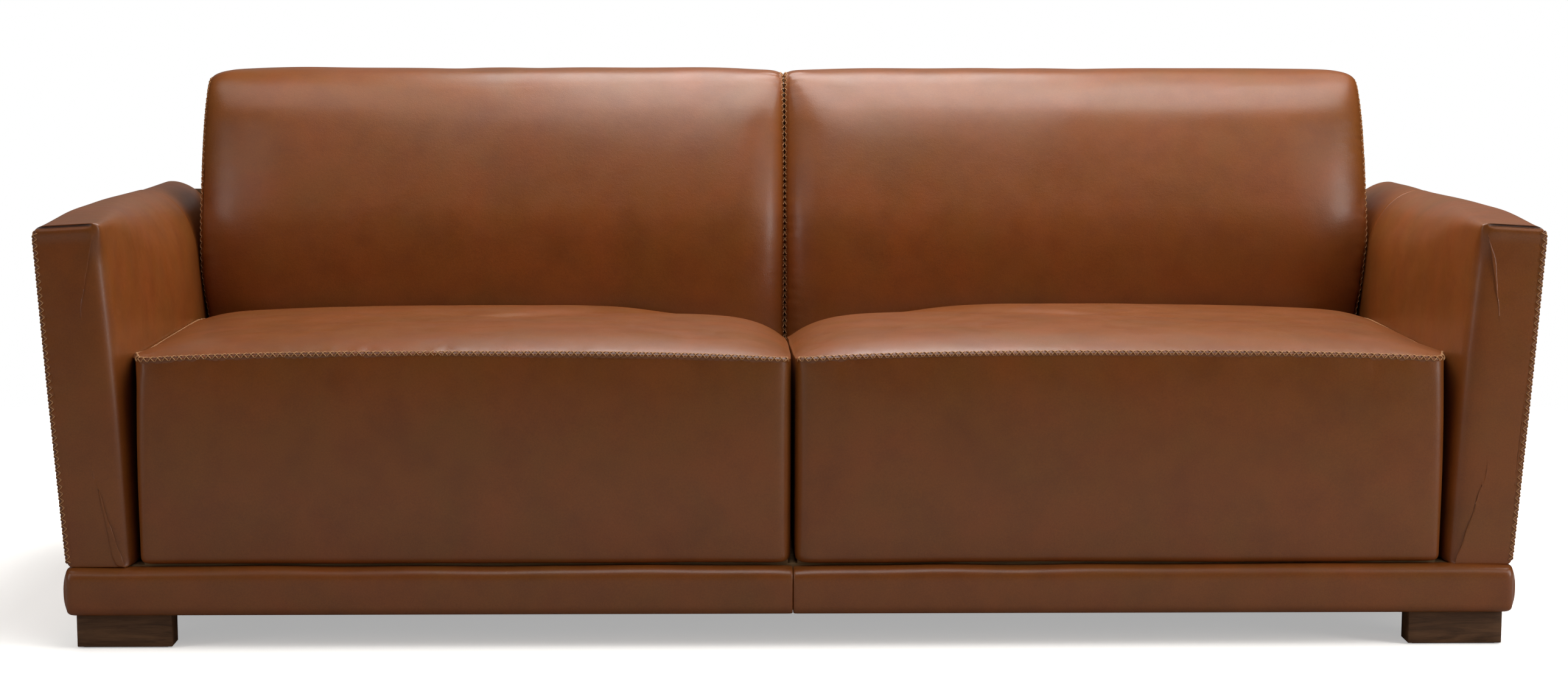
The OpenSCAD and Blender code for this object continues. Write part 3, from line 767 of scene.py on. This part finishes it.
def gather(piece, seams, amount, reach, seed):
    """Small creases that run away from the seams, and a pull at each stitch."""
    tree = KDTree(sum(len(seam.places) for seam in seams))
    places = []
    for number, seam in enumerate(seams):
        for i, point in enumerate(seam.edge):
            tree.insert(point, len(places))
            places.append(seam.places[i] + number * 7.7)
    tree.balance()
    places = np.array(places)
    points, up = points_of(piece.data), normals_of(piece.data)
    found = [tree.find(p) for p in points]
    distance = np.array([f[2] for f in found])
    t = places[[f[1] for f in found]]
    flat = np.stack([t / (7 * MM), distance / (26 * MM), t * 0], 1)
    broad = np.stack([t, distance * 0.5, t * 0], 1)
    where = np.clip(0.5 + 1.3 * noise(broad, 0.07, seed + 1), 0, 1.4)
    height = amount * where * noise(flat, 1.0, seed) * np.exp(-((distance / reach) ** 2))
    pull = 0.35 * MM * np.cos(2 * np.pi * t / PITCH) * np.exp(-distance / (5 * MM))
    move_points(piece.data, points + up * (height - pull)[:, None])


def rest_on_middle(piece, side):
    """Flattens a cushion where it presses on its twin, at the sofa's middle plane."""
    points = points_of(piece.data)
    points[:, 0] = side * np.maximum(points[:, 0] * side, 0.3 * MM)
    move_points(piece.data, points)


def lumps(piece, amount, size, seed, stretch=(1, 1, 1)):
    points, up = points_of(piece.data), normals_of(piece.data)
    move_points(piece.data, points + up * (amount * noise(points * stretch, size, seed))[:, None])


# ---- finishes ------------------------------------------------------------------------

class Finish:
    """A node material on the Principled shader."""

    def __init__(self, name, **values):
        self.material = bpy.data.materials.new(name)
        self.material.use_nodes = True
        self.tree = self.material.node_tree
        self.shader = self.tree.nodes["Principled BSDF"]
        for socket, value in values.items():
            self.shader.inputs[socket.replace("_", " ")].default_value = value

    def add(self, kind, operation=None, **inputs):
        node = self.tree.nodes.new("ShaderNode" + kind)
        if operation:
            setattr(node, "blend_type" if kind == "MixRGB" else "operation", operation)
        for socket, value in inputs.items():
            numbered = socket[0] == "i" and socket[1:].isdigit()
            self.link(value, node.inputs[int(socket[1:]) if numbered else socket.replace("_", " ")])
        return node

    def link(self, value, socket):
        if isinstance(value, bpy.types.NodeSocket):
            self.tree.links.new(value, socket)
        else:
            socket.default_value = value

    def coordinates(self, stretch=(1, 1, 1)):
        place = self.add("TexCoord")
        return self.add("Mapping", Vector=place.outputs["Object"], Scale=stretch).outputs["Vector"]

    def noise(self, scale, detail=2.0, rough=0.5, vector=None, distortion=0.0):
        place = vector or self.coordinates()
        values = {"Scale": scale, "Detail": detail, "Roughness": rough, "Distortion": distortion}
        node = self.add("TexNoise", Vector=place, **values)
        return node.outputs["Fac"]

    def ranged(self, value, low, high, to_low, to_high):
        node = self.add("MapRange", Value=value, From_Min=low, From_Max=high, To_Min=to_low, To_Max=to_high)
        return node.outputs["Result"]

    def mixed(self, share, first, second, way="MIX"):
        return self.add("MixRGB", way, Fac=share, Color1=first, Color2=second).outputs["Color"]

    def bumped(self, height, strength, distance, normal=None):
        bump = self.add("Bump", Strength=strength, Distance=distance, Height=height)
        if normal is not None:
            self.link(normal, bump.inputs["Normal"])
        return bump.outputs["Normal"]

    def wear(self, color=None, roughness=None, normal=None):
        for socket, value in (("Base Color", color), ("Roughness", roughness), ("Normal", normal)):
            if value is not None:
                self.link(value, self.shader.inputs[socket])
        return self.material


LEATHER_RED = (0.308, 0.080, 0.0130, 1)
LEATHER_OLIVE = (0.262, 0.082, 0.0130, 1)
LEATHER_DEEP = (0.188, 0.046, 0.0090, 1)
# painted shade colour for seam grooves, stitch holes and the arms' slits
LEATHER_PAINTED_SHADE = (0.030, 0.008, 0.003, 1)
THREAD_TAN = (0.62, 0.315, 0.135, 1)


def leather_finish():
    f = Finish("sofa_leather", Specular_IOR_Level=0.5, Coat_Weight=0.32, Coat_Roughness=0.25)
    cloudy = f.ranged(f.noise(9.0, 3.0, 0.55, distortion=0.4), 0.3, 0.7, 0, 1)
    color = f.mixed(cloudy, LEATHER_RED, LEATHER_OLIVE)
    patchy = f.ranged(f.noise(17.0, 4.0, 0.6), 0.42, 0.75, 0, 0.45)
    color = f.mixed(patchy, color, LEATHER_DEEP)
    speckled = f.ranged(f.noise(420.0, 3.0, 0.6), 0.3, 0.7, 0.90, 1.08)
    tone = f.add("CombineColor", Red=speckled, Green=speckled, Blue=speckled).outputs["Color"]
    color = f.mixed(1.0, color, tone, "MULTIPLY")
    # painted shade: the groove, stitch-hole and slit shade stored on the points darkens the leather
    painted_shade = f.add("Attribute")
    painted_shade.attribute_name = "painted_shade"
    color = f.mixed(painted_shade.outputs["Fac"], color, LEATHER_PAINTED_SHADE)
    roughness = f.ranged(f.noise(30.0, 4.0, 0.6), 0.3, 0.7, 0.34, 0.43)
    pebble = f.add("TexVoronoi", Vector=f.coordinates(), Scale=560.0).outputs["Distance"]
    grain = f.bumped(pebble, 0.24, 0.0004)
    wrinkle = f.noise(150.0, 4.0, 0.62, vector=f.coordinates((0.7, 0.8, 1)))
    grain = f.bumped(wrinkle, 0.18, 0.0010, grain)
    soft = f.noise(24.0, 2.0, 0.5)
    grain = f.bumped(soft, 0.05, 0.006, grain)
    return f.wear(color, roughness, grain)


def thread_finish():
    f = Finish("waxed_thread", Specular_IOR_Level=0.35)
    shade = f.ranged(f.noise(900.0, 2.0), 0.3, 0.7, 0.75, 1.15)
    tone = f.add("CombineColor", Red=shade, Green=shade, Blue=shade).outputs["Color"]
    color = f.mixed(1.0, THREAD_TAN, tone, "MULTIPLY")
    return f.wear(color, f.ranged(shade, 0.7, 1.2, 0.65, 0.5), f.bumped(shade, 0.3, 0.0003))


def wood_finish(name, dark, light, roughness, scale=1.0):
    f = Finish(name, Specular_IOR_Level=0.4)
    rings = f.noise(9.0 * scale, 5.0, 0.6, vector=f.coordinates((1.0, 9.0, 9.0)), distortion=1.2)
    pores = f.noise(120.0 * scale, 3.0, 0.7, vector=f.coordinates((0.35, 9.0, 9.0)))
    color = f.mixed(f.ranged(rings, 0.3, 0.7, 0, 1), dark, light)
    color = f.mixed(f.ranged(pores, 0.5, 0.8, 0, 0.5), color, tuple(0.4 * c for c in dark[:3]) + (1,))
    dull = f.ranged(pores, 0.3, 0.8, roughness, roughness + 0.15)
    return f.wear(color, dull, f.bumped(pores, 0.12, 0.0004))


def plain_finish(name, color, roughness, scale, spread=0.2, metallic=0.0, bump=0.2, stretch=(1, 1, 1)):
    f = Finish(name, Metallic=metallic)
    grain = f.noise(scale, 4.0, 0.6, vector=f.coordinates(stretch))
    dark = tuple(c * (1 - spread) for c in color[:3]) + (1,)
    shade = f.mixed(grain, dark, color)
    dull = f.ranged(grain, 0.3, 0.7, roughness - 0.06, roughness + 0.06)
    return f.wear(shade, dull, f.bumped(grain, bump, 0.0005))


def webbing_finish():
    f = Finish("elastic_webbing")
    place = f.coordinates()
    weave = [f.add("TexWave", Vector=place, Scale=160.0) for _ in range(2)]
    weave[1].bands_direction = "Y"
    woven = f.add("Math", "MULTIPLY", i0=weave[0].outputs["Fac"], i1=weave[1].outputs["Fac"]).outputs[0]
    color = f.mixed(woven, (0.03, 0.03, 0.032, 1), (0.16, 0.155, 0.15, 1))
    return f.wear(color, f.ranged(woven, 0, 1, 0.9, 0.7), f.bumped(woven, 0.4, 0.0006))


leather, thread = leather_finish(), thread_finish()
leg_wood = wood_finish("dark_walnut", (0.095, 0.043, 0.019, 1), (0.230, 0.108, 0.048, 1), 0.5)
finishes = {
    "leather": leather,
    "thread": thread,
    "leg_wood": leg_wood,
    "frame_timber": wood_finish("frame_pine", (0.42, 0.25, 0.11, 1), (0.62, 0.42, 0.22, 1), 0.6, 0.6),
    "fibreboard": plain_finish("fibreboard", (0.36, 0.24, 0.14, 1), 0.8, 260.0),
    "foam": plain_finish("foam", (0.78, 0.72, 0.50, 1), 0.95, 500.0, 0.12),
    "webbing": webbing_finish(),
    "steel": plain_finish("zinc_steel", (0.55, 0.56, 0.58, 1), 0.35, 90.0, 0.1, 1.0, 0.05),
    "felt": plain_finish("felt", (0.09, 0.085, 0.08, 1), 0.98, 700.0, 0.4, 0.0, 0.6),
    "lining": plain_finish("black_lining", (0.022, 0.022, 0.024, 1), 0.95, 800.0, 0.4, 0.0, 0.5, (1, 4, 1)),
}
for part in frame["nodes"].values():
    for place in part.material_slots:
        place.material = finishes[place.material.name.split(".")[0]]


# ---- the upholstery ------------------------------------------------------------------

LONG_EDGE = (2 * MM, 3.5 * MM, 5 * MM, 6.5 * MM, 8 * MM, 9.5 * MM)
SHORT_EDGE = (2 * MM, 3 * MM, 4 * MM)


def span(node, axes):
    low, high = corners(node)
    return [(high - low)[axis] for axis in axes]


def pad_of(name, sizes, form, side, *args, edges=(LONG_EDGE,) * 3, middle=12 * MM):
    return Pad(name, sizes, shaped(form, side, *args), edges, middle, flipped=side < 0)


def built(pad):
    return subdivide(pad.piece())


arm_end_y = corners("arm_cover_right")[1][1]
arm_sizes = [ARM_HIGH[2] - ARM_LOW[2], ARM_THICK, arm_end_y - ARM_FACE_Y]
swollen = {}
for word, side in (("left", -1), ("right", 1)):
    swollen["seat_" + word] = pad_of("seat_" + word, span("seat_cushion_right", (0, 1, 2)), seat_form, side)
    swollen["back_" + word] = pad_of("back_" + word, span("back_cushion_right", (1, 2, 0)), back_form, side)
    swollen["arm_" + word] = pad_of("arm_" + word, arm_sizes, arm_form, side, ARM_FACE_Y, arm_end_y, 0)
# Each plan is what holds the pad, the pressure in it, its slack and its largest move
plans = {
    "seat": (seat_held, 3.0, 0.0035, 3 * MM),
    "back": (back_held, 3.5, 0.0015, 4 * MM),
    "arm": (arm_held, 2.0, 0.003, 2 * MM),
}
chosen = [plans[name.split("_")[0]] for name in swollen]
for pad, plan in zip(swollen.values(), chosen):
    pad.start(*plan[:3])
swell(swollen.values(), [plan[3] for plan in chosen])

for word, side in (("left", -1), ("right", 1)):
    # Seat
    pad = swollen["seat_" + word]
    seat = built(pad)
    last_u, last_v = pad.fine.ids.shape[0] - 1, pad.fine.ids.shape[1] - 1
    ring = [(last_u, v) for v in range(last_v, 0, -1)]
    ring += [(u, 0) for u in range(last_u, 0, -1)] + [(0, v) for v in range(5)]
    seam = Seam(pad, seat, ring, 1)
    gather(seat, [seam], 0.7 * MM, 26 * MM, 31 + side)
    lumps(seat, 1.0 * MM, 0.13, 41 + side)
    rest_on_middle(seat, side)
    finish_piece(seat, leather, ["seat_cushion_" + word, "seat_foam_" + word])
    stitch("seat_" + word, [seam])

    # Back
    pad = swollen["back_" + word]
    back = built(pad)
    last_y, last_z = pad.fine.ids.shape[0] - 1, pad.fine.ids.shape[1] - 1
    ring = [(0, v) for v in range(last_z)] + [(u, last_z) for u in range(last_y)]
    ring += [(last_y, v) for v in range(last_z, last_z // 2, -1)]
    seams = [Seam(pad, back, ring, end) for end in (-1, 1)]
    gather(back, seams, 0.9 * MM, 34 * MM, 51 + side)
    lumps(back, 1.6 * MM, 0.12, 61 + side, (1, 1, 0.6))
    rest_on_middle(back, side)
    finish_piece(back, leather, ["back_cushion_" + word, "back_foam_" + word])
    stitch("back_" + word, seams)

    # Arm
    pad = swollen["arm_" + word]
    arm = built(pad)
    last_z, last_x = pad.fine.ids.shape[0] - 1, pad.fine.ids.shape[1] - 1
    seam = Seam(pad, arm, [(u, last_x) for u in range(2, last_z - 1)], -1)
    gather(arm, [seam], 0.4 * MM, 20 * MM, 71 + side)
    lumps(arm, 0.9 * MM, 0.15, 81 + side)
    # painted shade in the slit under the arm's top
    mark(arm, slit_painted_shade(points_of(arm.data), side))
    parts = ["arm_cover_" + word, "arm_facing_" + word, "arm_foam_" + word]
    finish_piece(arm, leather, parts)
    stitch("arm_" + word, [seam])
    end_y = corners("arm_wing_right")[1][1]
    wing_sizes = [arm_sizes[0], ARM_THICK, end_y - arm_end_y]
    pad = pad_of("wing_" + word, wing_sizes, arm_form, side, arm_end_y, end_y, 0.6 * MM)
    wing = built(pad)
    lumps(wing, 0.9 * MM, 0.15, 91 + side)
    finish_piece(wing, leather, ["arm_wing_" + word])

    # Plinth
    low, high = corners("plinth_front")
    pad = pad_of("plinth_front_" + word, [0.036, 0.07, high[0]], plinth_front_form, side)
    finish_piece(built(pad), leather, ["plinth_front"])
    pad = pad_of("plinth_side_" + word, [0.07, 0.036] + span("plinth_right", (1,)), plinth_side_form, side)
    finish_piece(built(pad), leather, ["plinth_" + word])

for name, node, radius, belly, top_drop in (
    ("wall_top", "wall_top_pad", 7 * MM, 1.5 * MM, 14 * MM),
    ("outer_back_panel", "outer_back", 10 * MM, 1.5 * MM, 22 * MM),
    ("plinth_back", "plinth_rear", 8 * MM, 1.5 * MM, 0),
):
    pad = pad_of(
        name, span(node, (2, 0, 1)), slab_form, 1, node, radius, belly, top_drop,
        edges=(SHORT_EDGE, SHORT_EDGE, (1 * MM,)), middle=24 * MM,
    )
    finish_piece(built(pad), leather, [node])


# ---- the legs ------------------------------------------------------------------------

def leg(node):
    """A block with its edges broken, standing where the CAD leg stands."""
    low, high = corners(node)
    ease = 1.2 * MM
    sizes = high - low
    block = Lattice(*[steps(size, (ease,), 12 * MM) for size in sizes])
    half, centre = sizes / 2, (high + low) / 2
    q = block.uvw * half
    core = np.clip(q, -(half - ease), half - ease)
    away = q - core
    q = core + unit(away) * ease * (np.linalg.norm(away, axis=1, keepdims=True) > 0)
    piece = new_object("wood_" + node, q + centre, block.faces())
    finish_piece(piece, leg_wood, [node])


for node in ("leg_front_left", "leg_front_right", "leg_rear_left", "leg_rear_right", "leg_centre"):
    leg(node)


# ---- floor, light and camera ---------------------------------------------------------

def area(name, place, aim, width, height, power, color=(1, 1, 1)):
    light = bpy.data.lights.new(name, "AREA")
    light.shape, light.size, light.size_y = "RECTANGLE", width, height
    light.energy, light.color = power, color
    lamp = bpy.data.objects.new(name, light)
    lamp.location = place
    lamp.rotation_euler = (Vector(aim) - Vector(place)).to_track_quat("-Z", "Y").to_euler()
    lamp.visible_camera = False
    bpy.context.scene.collection.objects.link(lamp)


FLOOR_HALF = 9.0
FLOOR_GLOW, FLOOR_GAIN = 0.39, 4.6          # added light and brightening, seen directly
FLOOR_FADE = (1.7, 2.6)     # distances between which the floor fades into the surround
WORLD_LIGHT = 0.02          # how much of the white surround lights the sofa

floor_corners = np.array([[-1, -1, 0], [1, -1, 0], [1, 1, 0], [-1, 1, 0]]) * FLOOR_HALF
floor = new_object("floor", floor_corners, np.array([[0, 1, 2, 3]]), smooth=False)
pale = Finish("pale_floor", Roughness=0.9, Specular_IOR_Level=0.1)
seen = pale.add("LightPath").outputs["Is Camera Ray"]
pale.link(pale.ranged(seen, 0, 1, 0, FLOOR_GLOW), pale.shader.inputs["Emission Strength"])
pale.shader.inputs["Emission Color"].default_value = (1, 1, 1, 1)
middle = pale.add("VectorMath", "LENGTH", i0=pale.add("TexCoord").outputs["Object"]).outputs["Value"]
gone = pale.add("Math", "MULTIPLY", i0=pale.ranged(middle, *FLOOR_FADE, 0, 1), i1=seen).outputs[0]
clear = pale.add("MixShader", Fac=gone, i1=pale.shader.outputs[0], i2=pale.add("BsdfTransparent").outputs[0])
pale.link(clear.outputs[0], pale.tree.nodes["Material Output"].inputs["Surface"])
gain = pale.ranged(seen, 0, 1, 1, FLOOR_GAIN)
gain = pale.add("CombineColor", Red=gain, Green=gain, Blue=gain).outputs["Color"]
tone = pale.mixed(pale.noise(3.0), (0.395, 0.385, 0.365, 1), (0.415, 0.405, 0.385, 1))
floor.data.materials.append(pale.wear(pale.mixed(1.0, tone, gain, "MULTIPLY")))

world = bpy.data.worlds.new("studio")
world.use_nodes = True
bpy.context.scene.world = world
sky = world.node_tree.nodes["Background"]
path = world.node_tree.nodes.new("ShaderNodeLightPath")
dim = world.node_tree.nodes.new("ShaderNodeMapRange")
dim.inputs["To Min"].default_value = WORLD_LIGHT
world.node_tree.links.new(path.outputs["Is Camera Ray"], dim.inputs["Value"])
world.node_tree.links.new(dim.outputs["Result"], sky.inputs["Strength"])
sky.inputs["Color"].default_value = (1, 1, 1, 1)

CEILING_PANEL = (1.5, 1.2)
for name, place, power in (
    ("front_centre", (0.0, -1.1, 2.6), 15),
    ("middle_centre", (0.2, 0.2, 2.6), 25),
    ("middle_right", (1.6, 0.2, 2.6), 21),
    ("middle_left", (-1.6, 0.2, 2.6), 8),
    ("rear_centre", (0.0, 1.5, 2.6), 24),
    ("rear_right", (1.6, 1.5, 2.6), 5),
):
    area(name, place, (place[0], place[1], 0), *CEILING_PANEL, power)
area("side_right", (2.8, -1.4, 1.2), (0.2, 0.1, 0.6), 0.7, 1.8, 21)
area("side_left", (-2.8, -1.4, 1.2), (-0.2, 0.1, 0.6), 0.7, 1.8, 8)
area("key_right", (1.9, -1.8, 2.3), (0, 0.1, 0.5), 1.0, 1.0, 4)
area("key_left", (-1.9, -1.8, 2.3), (0, 0.1, 0.5), 1.0, 1.0, 3)
area("behind", (0, 3.2, 1.6), (0, 0, 0.5), 5.0, 2.4, 5)
area("bounce", (0, -1.1, 0.02), (0, -0.4, 0.5), 3.0, 0.7, 1.2, (1, 0.9, 0.8))

CAMERA_PLACE = (-0.087, -4.341, 0.954)
CAMERA_DOWN, CAMERA_TURN = 7.368, -1.067    # degrees
CAMERA_ROLL = -0.0015                       # radians
camera = bpy.data.objects.new("camera", bpy.data.cameras.new("camera"))
camera.location = CAMERA_PLACE
camera.rotation_euler = (math.radians(90 - CAMERA_DOWN), CAMERA_ROLL, math.radians(CAMERA_TURN))
camera.data.lens, camera.data.sensor_width = 62.04, 36
bpy.context.scene.collection.objects.link(camera)
bpy.context.scene.camera = camera
bpy.context.scene.view_settings.view_transform = "Standard"
